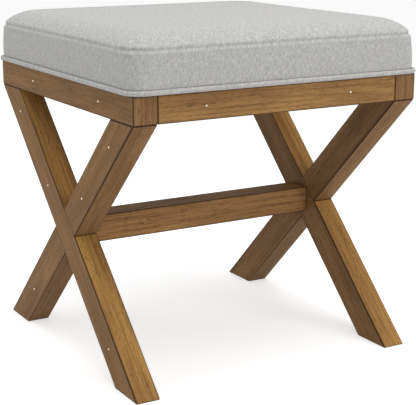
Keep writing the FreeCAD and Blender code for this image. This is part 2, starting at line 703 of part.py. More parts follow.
def crown_section(body, name, share, inset):
    """The outline of the top at a share of the width over which it rolls up."""
    rise = (1 - (1 - share) ** CROWN_FULLNESS) ** (1 / CROWN_FULLNESS)
    level = f"seam_height + crown_rise * {rise:.5f} + dome_rise * {DOME_AT_ROLL * share:.5f}"
    out = f"(seam_overhang - crown_roll * {share} - ({inset}))"
    corner = f"(seam_corner * {1 - CORNER_LOSS * share:.5f} - ({inset}))"
    sketch = new_sketch(body, name, "XY", f"{level} - ({inset}) * {rise:.5f}")
    add_rounded(sketch, f"(half_x + {out})", f"(half_y + {out})", corner, "draw_in")
    return sketch


def plateau_section(body, name, share, inset):
    """The outline of the nearly flat middle of the top at a share of the width."""
    level = f"seam_height + crown_rise + dome_rise * {1 - share ** DOME_FULLNESS:.5f} - ({inset})"
    sketch = new_sketch(body, name, "XY", level)
    add_rounded(sketch, f"(half_x * {share} - ({inset}))", f"(half_y * {share} - ({inset}))",
                f"(crown_corner * {share} - ({inset}))", f"draw_in * {share}")
    return sketch


def crown_sections(body, name, inset):
    sections = []
    for i, share in enumerate(CROWN_SHARES):
        sections.append(crown_section(body, f"{name}_roll_{i}", share, inset))
    for i, share in enumerate(PLATEAU_SHARES):
        sections.append(plateau_section(body, f"{name}_flat_{i}", share, inset))
    return sections


def band_sections(body, name, inset, start="0"):
    shares = [start] + [share for share in BAND_SHARES if share > number(start)]
    return [band_section(body, f"{name}_side_{i}", share, inset) for i, share in enumerate(shares)]


def cover_side_band():
    body = new_body("cover_side_band")
    loft(body, "Additive", band_sections(body, "band_outside", "0"))
    loft(body, "Subtractive", band_sections(body, "band_inside", "cover_thickness"))
    return body


def cover_top_panel():
    body = new_body("cover_top_panel")
    loft(body, "Additive", crown_sections(body, "top_outside", "0"))
    loft(body, "Subtractive", crown_sections(body, "top_inside", "cover_thickness"))
    return body


def filling_sections(body, name, inset):
    """From the board up to the seam and on to the crown. The seam's outline comes once."""
    return band_sections(body, name, inset, "foam_start") + crown_sections(body, name, inset)[1:]


def wadding():
    body = new_body("wadding")
    inset = "cover_thickness + soft_gap"
    loft(body, "Additive", filling_sections(body, "wadding_out", inset))
    loft(body, "Subtractive", filling_sections(body, "wadding_in", f"{inset} + wadding_thickness"))
    return body


def foam_core():
    body = new_body("foam_core")
    inset = "cover_thickness + 2 * soft_gap + wadding_thickness"
    loft(body, "Additive", filling_sections(body, "foam", inset))
    return body


pieces = []
for side_name, side in SIDES:
    pieces.append(side_rail(side_name, side))
    pieces.append(leg(side_name, side, 1))
    pieces.append(leg(side_name, side, -1))
for end_name, end in ENDS:
    pieces.append(apron(end_name, end))
    for side_name, side in SIDES:
        pieces.append(corner_block(side_name, side, end_name, end))
pieces.append(stretcher())
pieces += hardware()
pieces += [dust_cover(), cover_turnover(), seat_board(), welt_cord()]
pieces += [cover_side_band(), cover_top_panel(), wadding(), foam_core()]
doc.recompute()

# Nothing is written unless every feature and every shape is sound
faults = [item.Label for item in doc.Objects if {"Invalid", "Error"} & set(item.State)]
faults += [piece.Label for piece in pieces if piece.Shape.isNull() or not piece.Shape.isValid()]
if faults:
    raise RuntimeError(f"faulty: {', '.join(faults)}")

os.makedirs("parts", exist_ok=True)
for piece in pieces:
    piece.Shape.exportStep(f"parts/{piece.Label}.step")
    solids = len(piece.Shape.Solids)
    print(f"{piece.Label}: {solids} solid{'s' if solids > 1 else ''}, {piece.Shape.Volume / 1000:.1f} cm3")
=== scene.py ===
"""Looks of the vanity stool, dressed over its packed construction.

The wooden frame keeps its construction meshes and gets stained finishes. The cushion, its welt
and the cloth under the seat are modelled here, in the space that their plain solids hold.
Lengths are metres. X is the width, Y the depth with the front at -Y, Z is up from the floor.
"""

from __future__ import annotations

import logging
import math
from abc import ABC, abstractmethod
from collections.abc import Callable, Iterable, Iterator, Sequence
from contextlib import contextmanager
from dataclasses import dataclass, field
from enum import Enum
from functools import cached_property
from typing import Any

import bpy
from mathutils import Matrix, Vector, noise


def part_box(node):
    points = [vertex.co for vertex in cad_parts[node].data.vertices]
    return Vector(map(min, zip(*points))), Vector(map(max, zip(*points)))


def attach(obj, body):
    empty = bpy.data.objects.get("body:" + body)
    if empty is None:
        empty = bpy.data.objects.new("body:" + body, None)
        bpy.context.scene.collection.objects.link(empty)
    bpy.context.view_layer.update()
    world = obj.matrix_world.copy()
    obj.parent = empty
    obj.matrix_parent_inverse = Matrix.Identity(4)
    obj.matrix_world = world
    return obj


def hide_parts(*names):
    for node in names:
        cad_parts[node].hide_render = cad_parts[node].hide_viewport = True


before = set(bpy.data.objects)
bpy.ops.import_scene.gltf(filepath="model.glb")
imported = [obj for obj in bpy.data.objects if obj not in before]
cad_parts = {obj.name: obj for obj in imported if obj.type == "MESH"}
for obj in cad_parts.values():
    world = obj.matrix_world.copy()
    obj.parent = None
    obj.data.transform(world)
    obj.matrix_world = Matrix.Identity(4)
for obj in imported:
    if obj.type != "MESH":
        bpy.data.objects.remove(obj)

LOG = logging.getLogger("vanity_stool")
MM = 0.001
BODY = "root"
UV_NAME = "cloth"

Material = bpy.types.Material
Node = bpy.types.Node
Piece = bpy.types.Object
Socket = bpy.types.NodeSocket
Tree = bpy.types.NodeTree
Point = tuple[float, float, float]
Span = tuple[Any, Any]


class Axis(Enum):
    """A direction in the object's own frame."""

    WIDTH = (1.0, 0.0, 0.0)
    DEPTH = (0.0, 1.0, 0.0)
    HEIGHT = (0.0, 0.0, 1.0)


class Tone(Enum):
    """The stain's two mixed colours on a board, as it took on that cut of the wood. The honey pair
    is no stain colour but painted light: it makes the narrow faces of the front-foot legs lighter,
    as if lit from above.
    """

    BROWN = ("8A6845", "A47D54")
    GOLDEN = ("9F774B", "BC8F59")
    HONEY = ("AC7F49", "C99957")


class Slot(Enum):
    """Names of the record's material slots, passed along with new pieces; nothing reads them."""

    LINEN = "linen_cover"
    CAMBRIC = "black_cambric"


# Colour and node helpers


def linear(code: str) -> tuple[float, float, float, float]:
    """Turns an sRGB hex colour, such as "8A6B45", into linear light with a full alpha."""
    shares = [int(code[i : i + 2], 16) / 255 for i in (0, 2, 4)]
    red, green, blue = (s / 12.92 if s <= 0.04045 else ((s + 0.055) / 1.055) ** 2.4 for s in shares)
    return red, green, blue, 1.0


@dataclass
class Nodes:
    """A node tree, with a short way to add each kind of node that the finishes are made of.

    An input takes a plain value, a socket, or a node, whose first output in use is linked.
    """

    tree: Tree

    @cached_property
    def place(self) -> Socket:
        """Object coordinates, in metres from the stool's origin."""
        return self.add("TexCoord").outputs["Object"]

    def add(
        self,
        kind: str,
        settings: dict[str, Any] | None = None,
        inputs: dict[str | int, Any] | None = None,
    ) -> Node:
        """Adds a node with its settings, and fills or links its inputs.

        Args:
            kind: The node's type name, less the ShaderNode that it starts with.
            settings: Properties of the node, set first.
            inputs: What goes in, by name or by number among the inputs in use.

        Returns:
            The new node.
        """
        node = self.tree.nodes.new(f"ShaderNode{kind}")
        for name, value in (settings or {}).items():
            setattr(node, name, value)
        used = [socket for socket in node.inputs if socket.enabled]
        for key, value in (inputs or {}).items():
            socket = used[key] if isinstance(key, int) else next(s for s in used if s.name == key)
            if isinstance(value, Node):
                value = next(out for out in value.outputs if out.enabled)
            if isinstance(value, Socket):
                self.tree.links.new(value, socket)
            else:
                socket.default_value = value
        return node

    def math(self, operation: str, *values: Any) -> Node:
        """Adds a Math node with its values in order."""
        return self.add("Math", {"operation": operation}, dict(enumerate(values)))

    def vector(self, operation: str, *values: Any) -> Node:
        """Adds a Vector Math node with its values in order."""
        return self.add("VectorMath", {"operation": operation}, dict(enumerate(values)))

    def split(self, vector: Any) -> tuple[Socket, ...]:
        """Splits a vector into X, Y and Z."""
        return tuple(self.add("SeparateXYZ", inputs={0: vector}).outputs)

    def mix(self, share: Any, start: Any, end: Any) -> Node:
        """Adds a blend of two colours, each a hex code or a node."""
        ends = (linear(colour) if isinstance(colour, str) else colour for colour in (start, end))
        inputs = dict(zip(("Factor", "A", "B"), (share, *ends)))
        return self.add("Mix", {"data_type": "RGBA"}, inputs)

    def remap(
        self, value: Any, start: Span = (0.0, 1.0), end: Span = (0.0, 1.0), smooth: bool = False
    ) -> Node:
        """Adds a clamped change from the start range of values to the end range."""
        ends = {"From Min": start[0], "From Max": start[1], "To Min": end[0], "To Max": end[1]}
        kind = "SMOOTHSTEP" if smooth else "LINEAR"
        return self.add("MapRange", {"interpolation_type": kind}, {"Value": value, **ends})

    def noise(
        self, place: Any, detail: float, scale: float = 1.0, rough: float = 0.5, flat: bool = False
    ) -> Node:
        """Adds noise: its octaves, its marks per unit, and how strong each finer octave is."""
        return self.add(
            "TexNoise",
            {"noise_dimensions": "2D" if flat else "3D"},
            {"Vector": place, "Scale": scale, "Detail": detail, "Roughness": rough},
        )

    def bump(self, height: Any, strength: float, depth: float) -> Node:
        """Adds a relief of that depth in metres."""
        return self.add("Bump", inputs={"Strength": strength, "Distance": depth, "Height": height})

    def close(self, shader: Node) -> None:
        """Links a shader to the material's output."""
        self.add("OutputMaterial", inputs={"Surface": shader})


def new_material(name: str) -> tuple[Material, Nodes]:
    """Makes an empty material and gives it with its nodes."""
    material = bpy.data.materials.new(name)
    material.use_nodes = True
    material.node_tree.nodes.clear()
    return material, Nodes(material.node_tree)


# Finishes


@dataclass(frozen=True)
class Finish(ABC):
    """What a surface looks like, built from nodes."""

    name: str

    @abstractmethod
    def looks(self, nodes: Nodes) -> dict[str, Any]:
        """The shader's inputs that aren't left alone, by name."""

    def material(self) -> Material:
        """Builds the finish as a material."""
        material, nodes = new_material(self.name)
        nodes.close(nodes.add("BsdfPrincipled", inputs=self.looks(nodes)))
        return material


@dataclass(frozen=True)
class StainedWood(Finish):
    """Rubberwood, sanded, stained warm brown, glazed dark along its edges and lacquered satin.

    The eye sees a warm brown ground with soft golden and dark stripes along the grain, short
    dark pores, nearly black lines where glaze stayed at the edges, and a low even sheen.
    The size of a mark is its width across the grain and its length along it.
    """

    grain: Point
    across: Point
    low: Point
    high: Point
    board: float
    broad: Tone = Tone.BROWN
    narrow: Tone = Tone.BROWN
    shade: str = "6C5033"
    pore: str = "4A331B"
    glaze: str = "33241A"
    cloud_size: Span = (34 * MM, 170 * MM)
    cloud_range: Span = (0.34, 0.66)
    stripe_size: Span = (3.4 * MM, 90 * MM)
    stripe_range: Span = (0.42, 0.72)
    stripe_share: float = 0.62
    pore_size: Span = (1.1 * MM, 9 * MM)
    pore_range: Span = (0.55, 0.74)
    pore_share: float = 0.6
    roughness: Span = (0.5, 0.62)
    glaze_from: float = 0.25 * MM
    glaze_reach: Span = (1.52 * MM, 2.85 * MM)
    glaze_share: float = 0.92
    pins: tuple[Point, ...] = ()
    pin_ring: float = 2.9 * MM
    pin_share: float = 0.6
    broad_margin: float = 0.8 * MM
    end_margin: float = 0.6 * MM
    leg_half_width: float = 0.0
    crossing: Span | None = None
    streaked_ends: bool = False

    @property
    def centre(self) -> Vector:
        """Middle of the board's box."""
        return (Vector(self.low) + Vector(self.high)) / 2

    def _axes(self, nodes: Nodes) -> Node:
        """Coordinates along the board's depth, width and grain, which may stand up at its ends."""
        third = tuple(Vector(self.grain).cross(Vector(self.across)))
        ways = enumerate((third, self.across, self.grain))
        parts = {row: nodes.vector("DOT_PRODUCT", nodes.place, way) for row, way in ways}
        axes = nodes.add("CombineXYZ", inputs=parts)
        if not self.streaked_ends:
            return axes
        out = nodes.math("ABSOLUTE", nodes.split(nodes.place)[1])
        at_end = nodes.math("GREATER_THAN", out, self.high[1] - self.end_margin)
        ends = {"Factor": at_end, "A": axes, "B": nodes.place}
        return nodes.add("Mix", {"data_type": "VECTOR"}, ends)

    def _pattern(self, nodes: Nodes, axes: Node, size: Span, detail: float) -> Node:
        """Noise with marks of that size along the grain, which differs from board to board."""
        width, length = size
        stretch = (1 / width, 1 / width, 1 / length)
        start = (self.board, self.board * 1.7, self.board * 2.3)
        return nodes.noise(nodes.vector("MULTIPLY_ADD", axes, stretch, start), detail, rough=0.55)

    def _off_centre(self, nodes: Nodes) -> Node:
        """Distances from the board's middle along X, Y and Z."""
        return nodes.vector("ABSOLUTE", nodes.vector("SUBTRACT", nodes.place, self.centre))

    def _edge_distance(self, nodes: Nodes, axes: Node) -> Node:
        """Distance from a point of the surface to the nearest edge of the board.

        Each pair of faces gives a distance, and on a face the second smallest is the edge's.

        Args:
            nodes: The material's nodes.
            axes: The board's own coordinates.

        Returns:
            A node whose value is the distance.
        """
        half = (Vector(self.high) - Vector(self.low)) / 2
        x, y, z = nodes.split(nodes.vector("SUBTRACT", half, self._off_centre(nodes)))
        if self.leg_half_width:
            middle = Vector(self.across).dot(self.centre)
            away = nodes.math("ABSOLUTE", nodes.math("SUBTRACT", nodes.split(axes)[1], middle))
            y = nodes.math("SUBTRACT", self.leg_half_width, away)
        near = nodes.math("MINIMUM", x, y)
        far = nodes.math("MINIMUM", nodes.math("MAXIMUM", x, y), z)
        return nodes.math("MAXIMUM", near, far)

    def _corner_distance(self, nodes: Nodes) -> Node:
        """Distance in the leg's plane to the four inner corners where two legs cross."""
        flat = nodes.vector("MULTIPLY", self._off_centre(nodes), (0.0, 1.0, 1.0))
        reach_y, reach_z = self.crossing
        spots = ((0.0, reach_y, 0.0), (0.0, 0.0, reach_z))
        return nodes.math("MINIMUM", *(nodes.vector("DISTANCE", flat, spot) for spot in spots))

    def _tones(self, nodes: Nodes) -> list[Node]:
        """The two colours, which differ between the broad faces, across X, and the rest. On the
        front-foot legs the rest take the honey pair, so there the difference is painted light, not
        stain.
        """
        middle = (self.low[0] + self.high[0]) / 2
        half = (self.high[0] - self.low[0]) / 2
        x = nodes.split(nodes.place)[0]
        between = nodes.math("COMPARE", x, middle, half - self.broad_margin)
        return [nodes.mix(between, *pair) for pair in zip(self.broad.value, self.narrow.value)]

    def _glaze(self, nodes: Nodes, axes: Node, cloud: Node) -> Node:
        """How much dark glaze stayed, from 0 to 1: along edges, in inner corners, round pins.

        Args:
            nodes: The material's nodes.
            axes: The board's own coordinates.
            cloud: Noise that makes the line uneven.

        Returns:
            A node whose value is that share.
        """
        edge = self._edge_distance(nodes, axes)
        if self.crossing:
            edge = nodes.math("MINIMUM", edge, self._corner_distance(nodes))
        reach = nodes.remap(cloud, end=self.glaze_reach)
        line = nodes.remap(edge, (self.glaze_from, reach), (self.glaze_share, 0.0), smooth=True)
        for pin in self.pins:
            away = nodes.vector("DISTANCE", nodes.place, pin)
            span = (0.5 * self.pin_ring, self.pin_ring)
            ring = nodes.remap(away, span, (self.pin_share, 0.0), smooth=True)
            line = nodes.math("MAXIMUM", line, ring)
        return line

    def looks(self, nodes: Nodes) -> dict[str, Any]:
        """Clouds of two tones, then stripes, pores and glaze over them. The tones are stain
        colours, with painted light on the narrow faces of the front-foot legs.
        """
        axes = self._axes(nodes)
        cloud = self._pattern(nodes, axes, self.cloud_size, 2.0)
        stripe = self._pattern(nodes, axes, self.stripe_size, 3.0)
        pore = self._pattern(nodes, axes, self.pore_size, 1.0)
        ground = nodes.mix(nodes.remap(cloud, self.cloud_range), *self._tones(nodes))
        dark = nodes.remap(stripe, self.stripe_range, (0.0, self.stripe_share))
        striped = nodes.mix(dark, ground, self.shade)
        fleck = nodes.remap(pore, self.pore_range, (0.0, self.pore_share), smooth=True)
        flecked = nodes.mix(fleck, striped, self.pore)
        return {
            "Base Color": nodes.mix(self._glaze(nodes, axes, cloud), flecked, self.glaze),
            "Roughness": nodes.remap(stripe, end=self.roughness),
            "IOR": 1.45,
            "Specular IOR Level": 0.1,
            "Normal": nodes.bump(nodes.math("SUBTRACT", 0.0, fleck), 0.35, 0.15 * MM),
        }


@dataclass(frozen=True)
class BareWood(Finish):
    """Pine or birch left bare, sawn and sanded: pale, dry and matt, with soft brown grain."""

    pale: str = "C9AC80"
    brown: str = "A98757"
    grain_width: float = 4 * MM
    grain_length: float = 70 * MM

    def looks(self, nodes: Nodes) -> dict[str, Any]:
        """One soft grain along X, seen as colour and felt as relief."""
        scale = (1 / self.grain_length, 1 / self.grain_width, 1 / self.grain_width)
        stretched = nodes.add("Mapping", inputs={"Vector": nodes.place, "Scale": scale})
        grain = nodes.noise(stretched, 4.0)
        return {
            "Base Color": nodes.mix(nodes.remap(grain, (0.35, 0.7)), self.pale, self.brown),
            "Roughness": 0.72,
            "IOR": 1.5,
            "Normal": nodes.bump(grain, 0.3, 0.2 * MM),
        }


@dataclass(frozen=True)
class PlatedMetal(Finish):
    """Drawn steel with a thin bright plating: small, smooth and mirror-like with faint dulling."""

    colour: str
    dulled: str
    smudge: float = 1.2 * MM
    roughness: Span = (0.22, 0.42)

    def looks(self, nodes: Nodes) -> dict[str, Any]:
        """Duller and rougher smudges on a bright metal."""
        spots = nodes.noise(nodes.place, 2.0, scale=1 / self.smudge)
        return {
            "Base Color": nodes.mix(spots, self.colour, self.dulled),
            "Metallic": 1.0,
            "Roughness": nodes.remap(spots, end=self.roughness),
        }


@dataclass(frozen=True)
class WovenLinen(Finish):
    """Linen-look polyester, plain woven from uneven yarn: pale grey, dry, with slubs and flecks.

    Single threads are 0.5 mm apart, too fine to show, so the weave is drawn at thread_pitch.
    The pattern follows the piece's own UV map, in metres along weft and warp.
    """

    light: str = "DAD9D6"
    dark: str = "AEADAA"
    thread_pitch: float = 1.7 * MM
    slub_width: float = 1.0 * MM
    slub_length: float = 6 * MM
    fleck: float = 1.1 * MM
    mottle: Span = (7 * MM, 11.2 * MM)
    turn: float = 0.0
    weave_weight: float = 0.06
    warp_weight: float = 0.9
    weft_weight: float = 0.5
    fleck_weight: float = 0.7
    mottle_weight: float = 0.18
    light_range: Span = (0.94, 1.34)

    def looks(self, nodes: Nodes) -> dict[str, Any]:
        """Slubs both ways, flecks, soft mottling and the weave, added up."""
        uv = nodes.add("UVMap", {"uv_map": UV_NAME})
        flat = nodes.add("Mapping", inputs={"Vector": uv, "Rotation": (0.0, 0.0, self.turn)})
        pitch = 2 * math.pi / self.thread_pitch
        phases = [nodes.math("MULTIPLY", part, pitch) for part in nodes.split(flat)[:2]]
        weave = nodes.math("MULTIPLY", *(nodes.math("SINE", phase) for phase in phases))
        total = nodes.math("MULTIPLY_ADD", weave, self.weave_weight, 0.0)
        marks = (
            (self.slub_width, self.slub_length, 3.0, self.warp_weight),
            (self.slub_length, self.slub_width, 3.0, self.weft_weight),
            (self.fleck, self.fleck, 2.0, self.fleck_weight),
            (*self.mottle, 2.0, self.mottle_weight),
        )
        for width, height, detail, weight in marks:
            stretched = nodes.vector("MULTIPLY", flat, (1 / width, 1 / height, 1.0))
            mark = nodes.noise(stretched, detail, rough=0.6, flat=True)
            total = nodes.math("MULTIPLY_ADD", mark, weight, total)
        return {
            "Base Color": nodes.mix(nodes.remap(total, self.light_range), self.dark, self.light),
            "Roughness": 0.92,
            "Specular IOR Level": 0.25,
            "Sheen Weight": 0.12,
            "Sheen Roughness": 0.5,
            "Normal": nodes.bump(total, 0.5, 0.35 * MM),
        }


@dataclass(frozen=True)
class Cambric(Finish):
    """Spun-bonded black cloth, pressed with a net of small dots: thin, matt and slightly furred."""

    black: str = "1B1B1D"
    worn: str = "2C2C2F"
    dot_pitch: float = 2.4 * MM
    fibres_per_metre: float = 140.0

    def looks(self, nodes: Nodes) -> dict[str, Any]:
        """Fine fibres over the pressed dots."""
        dots = nodes.add(
            "TexVoronoi",
            {"voronoi_dimensions": "2D", "feature": "F1"},
            {"Vector": nodes.place, "Scale": 1 / self.dot_pitch, "Randomness": 0.15},
        )
        fibre = nodes.noise(nodes.place, 5.0, scale=self.fibres_per_metre)
        return {
            "Base Color": nodes.mix(fibre, self.black, self.worn),
            "Roughness": 0.95,
            "Specular IOR Level": 0.2,
            "Normal": nodes.bump(dots, 0.6, 0.3 * MM),
        }


# Modelling helpers


def deselect_all() -> None:
    """Leaves nothing selected and no object in edit mode."""
    if bpy.context.object and bpy.context.object.mode != "OBJECT":
        bpy.ops.object.mode_set(mode="OBJECT")
    bpy.ops.object.select_all(action="DESELECT")


def take(piece: Piece) -> None:
    """Makes a piece the only selected object and the active one."""
    deselect_all()
    piece.select_set(True)
    bpy.context.view_layer.objects.active = piece


def just_added(name: str) -> Piece:
    """Names the object that was just added, and gives it."""
    piece = bpy.context.object
    piece.name = name
    return piece


def add_grid(name: str, cells: int) -> Piece:
    """Adds a level square from -1 to 1 with that many cells along each side."""
    deselect_all()
    bpy.ops.mesh.primitive_grid_add(
        x_subdivisions=cells, y_subdivisions=cells, size=2.0, location=(0, 0, 0)
    )
    return just_added(name)


@contextmanager
def editing(piece: Piece) -> Iterator[None]:
    """Edit mode on a piece, for the length of a with block."""
    take(piece)
    bpy.ops.object.mode_set(mode="EDIT")
    yield
    bpy.ops.object.mode_set(mode="OBJECT")


def apply_modifier(piece: Piece, kind: str, **settings: Any) -> None:
    """Adds a modifier of that type with its settings, and applies it."""
    take(piece)
    modifier = piece.modifiers.new(kind.title(), kind)
    for name, value in settings.items():
        setattr(modifier, name, value)
    bpy.ops.object.modifier_apply(modifier=modifier.name)


def subdivide_smooth(piece: Piece) -> None:
    """Applies one level of subdivision surface and shades the piece smooth."""
    apply_modifier(piece, "SUBSURF", levels=1, quality=1, use_limit_surface=False, uv_smooth="NONE")
    take(piece)
    bpy.ops.object.shade_smooth()


def dress(piece: Piece, finish: Material) -> None:
    """Gives a piece one material in all its slots."""
    if not piece.data.materials:
        piece.data.materials.append(finish)
    for slot in piece.material_slots:
        slot.material = finish


def hand_over(piece: Piece, slot: Slot, *nodes: str) -> None:
    """Lets a finished piece ride on the stool and stand for those construction nodes."""
    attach(piece, BODY)
    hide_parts(*nodes)
    LOG.info("%s: %d faces for %s", piece.name, len(piece.data.polygons), ", ".join(nodes))


# The wooden frame


@dataclass
class WoodenFrame:
    """The rails, aprons, crossed legs, stretcher and corner blocks, which keep their meshes."""

    leg_width: float = 45 * MM
    sides: tuple[str, ...] = ("left", "right")
    ends: tuple[str, ...] = ("front", "back")
    near: float = 6 * MM
    apart: float = 24 * MM
    head_depth: float = 0.9 * MM
    rounds: int = 30
    leg_boards: tuple[float, ...] = (10.4, 17.7, 25.0, 32.3)
    rail_boards: tuple[float, ...] = (41.7, 46.7)
    apron_boards: tuple[float, ...] = (61.3, 66.3)
    stretcher_board: float = 83.9

    def leg_angle(self, depth: float, height: float) -> float:
        """Slope of a leg from the floor, in radians, from its pair's outer depth and its height."""
        footprint = self.leg_width
        for _ in range(self.rounds):
            angle = math.atan2(height, depth - footprint)
            footprint = self.leg_width / math.sin(angle)
        return angle

    def pins_on(self, node: str, inside: Callable[[Vector], bool]) -> tuple[Point, ...]:
        """Heads of one group of pins that lie on a member.

        Args:
            node: The group's construction node.
            inside: True for a place on the member.

        Returns:
            The middle of each head.
        """
        heads: list[list[Vector]] = []
        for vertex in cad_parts[node].data.vertices:
            point = vertex.co.copy()
            home = next((head for head in heads if (head[0] - point).length < self.apart), None)
            if home is None:
                heads.append([point])
            else:
                home.append(point)

        def out(point: Vector) -> float:
            """How far out a point of a head lies, on an apron also by its depth."""
            return abs(point.x) + abs(point.y) * (node == "apron_pins")

        middles = []
        for head in heads:
            edge = max(map(out, head)) - self.head_depth
            tips = [point for point in head if out(point) > edge]
            middles.append(sum(tips, Vector()) / len(tips))
        return tuple(tuple(middle) for middle in middles if inside(middle))

    def stain(
        self, node: str, pins: str | None, inside: Callable[[Vector], bool], **looks: Any
    ) -> None:
        """Stains a member of the frame.

        Args:
            node: The construction node.
            pins: The group that its pins are in.
            inside: True for a place on the member.
            looks: The other fields of its finish.
        """
        low, high = (tuple(corner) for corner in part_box(node))
        heads = self.pins_on(pins, inside) if pins else ()
        finish = StainedWood(f"stained_wood_{node}", low=low, high=high, pins=heads, **looks)
        dress(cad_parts[node], finish.material())
        LOG.info("%s: stained", node)

    def stain_leg(self, side: str, foot: str, board: float) -> None:
        """Stains one leg, with its grain along the slope.

        Args:
            side: left or right.
            foot: front or back, where the leg stands.
            board: A number of its own, so that no two boards match.
        """
        node = f"{side}_leg_{foot}_foot"
        low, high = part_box(node)
        angle = self.leg_angle(high.y - low.y, high.z - low.z)
        slope = 1 if foot == "front" else -1
        across = (0.0, -slope * math.sin(angle), math.cos(angle))
        centre = (low + high) / 2
        half = self.leg_width / 2

        def inside(point: Vector) -> bool:
            """True within the leg's width and height."""
            return abs((point - centre).dot(Vector(across))) < self.near and point.z < high.z

        self.stain(
            node,
            f"{side}_frame_pins",
            inside,
            grain=(0.0, slope * math.cos(angle), math.sin(angle)),
            across=across,
            board=board,
            # painted light: the front-foot legs' narrow faces get the lighter honey pair, as if lit
            # from above
            narrow=Tone.HONEY if foot == "front" else Tone.BROWN,
            leg_half_width=half,
            crossing=(half / math.sin(angle), half / math.cos(angle)),
        )

    def stain_square(
        self, node: str, grain: Axis, pins: str | None, board: float, **looks: Any
    ) -> None:
        """Stains a square member, whose grain runs along an axis."""
        low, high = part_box(node)

        def inside(point: Vector) -> bool:
            """True within the member's box, a little widened."""
            return all(a - self.near < p < b + self.near for a, p, b in zip(low, point, high))

        ways = {"grain": grain.value, "across": Axis.HEIGHT.value}
        self.stain(node, pins, inside, board=board, **ways, **looks)

    def dress_all(self) -> None:
        """Dresses every wooden and metal node of the construction."""
        legs = [(side, foot) for side in self.sides for foot in self.ends]
        for (side, foot), board in zip(legs, self.leg_boards):
            self.stain_leg(side, foot, board)
        for side, board in zip(self.sides, self.rail_boards):
            pins = f"{side}_frame_pins"
            self.stain_square(f"{side}_side_rail", Axis.DEPTH, pins, board, streaked_ends=True)
        golden = {"broad": Tone.GOLDEN, "narrow": Tone.GOLDEN}
        for end, board in zip(self.ends, self.apron_boards):
            self.stain_square(f"{end}_apron", Axis.WIDTH, "apron_pins", board, **golden)
        self.stain_square("stretcher", Axis.WIDTH, None, self.stretcher_board, **golden)
        pine = BareWood("bare_pine")
        birch = BareWood("birch_plywood", pale="D3BC92", brown="B79A6B")
        beech = BareWood("beech_dowel", pale="CDAA7E", brown="B48C5E", grain_width=1.5 * MM)
        brass = PlatedMetal("brass_plated_pin", "F6EBDA", "DCCBAE")
        zinc = PlatedMetal("zinc_plated_screw", "C9CBCC", "A5A8AA")
        blocks = [f"corner_block_{end}_{side}" for end in self.ends for side in self.sides]
        plain = (
            (pine, blocks),
            (birch, ("seat_board",)),
            (beech, ("apron_dowels", "leg_dowels", "stretcher_dowels")),
            (brass, ("left_frame_pins", "right_frame_pins", "apron_pins")),
            (zinc, ("corner_block_screws", "seat_screws")),
        )
        for finish, nodes in plain:
            material = finish.material()
            for node in nodes:
                dress(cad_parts[node], material)
                LOG.info("%s: %s", node, finish.name)


# The cushion


@dataclass
class Outline:
    """A level line of the cushion: a rectangle with round corners and sides that pull in."""

    half_x: float
    half_y: float
    corner: float
    draw: float

    def side_length(self, half: float) -> float:
        """Length from the middle of a side to the middle of a corner."""
        return half - self.corner + self.corner * math.pi / 4

    def point(self, u: float, v: float) -> tuple[float, float]:
        """The place on this line of a place on a unit square's rim.

        Args:
            u: X on the square, from -1 to 1.
            v: Y on the square, from -1 to 1.

        Returns:
            X and Y on the line.
        """
        if abs(u) >= abs(v):
            out, along = self._along(v / abs(u) if u else 0.0, self.half_x, self.half_y)
            return math.copysign(out, u), along
        out, along = self._along(u / abs(v), self.half_y, self.half_x)
        return along, math.copysign(out, v)

    def _along(self, share: float, out: float, half: float) -> tuple[float, float]:
        """A place on one side, as its distance out and along.

        Args:
            share: From -1 to 1 along the side, to the middles of its corners.
            out: Half size at right angles to the side.
            half: Half size along the side.

        Returns:
            Distance out from the middle, and along the side.
        """
        run = abs(share) * self.side_length(half)
        straight = half - self.corner
        if run <= straight:
            pull = self.draw * (1 - (run / straight) ** 2)
            return out - pull, math.copysign(run, share)
        turn = (run - straight) / self.corner
        spot = straight + self.corner * math.sin(turn)
        return out - self.corner * (1 - math.cos(turn)), math.copysign(spot, share)


@dataclass
class Station:
    """One row of the cushion's mesh: how far out from the frame's faces, how high, how round."""

    out: float
    level: float
    corner: float
    draw: float
    hold: float


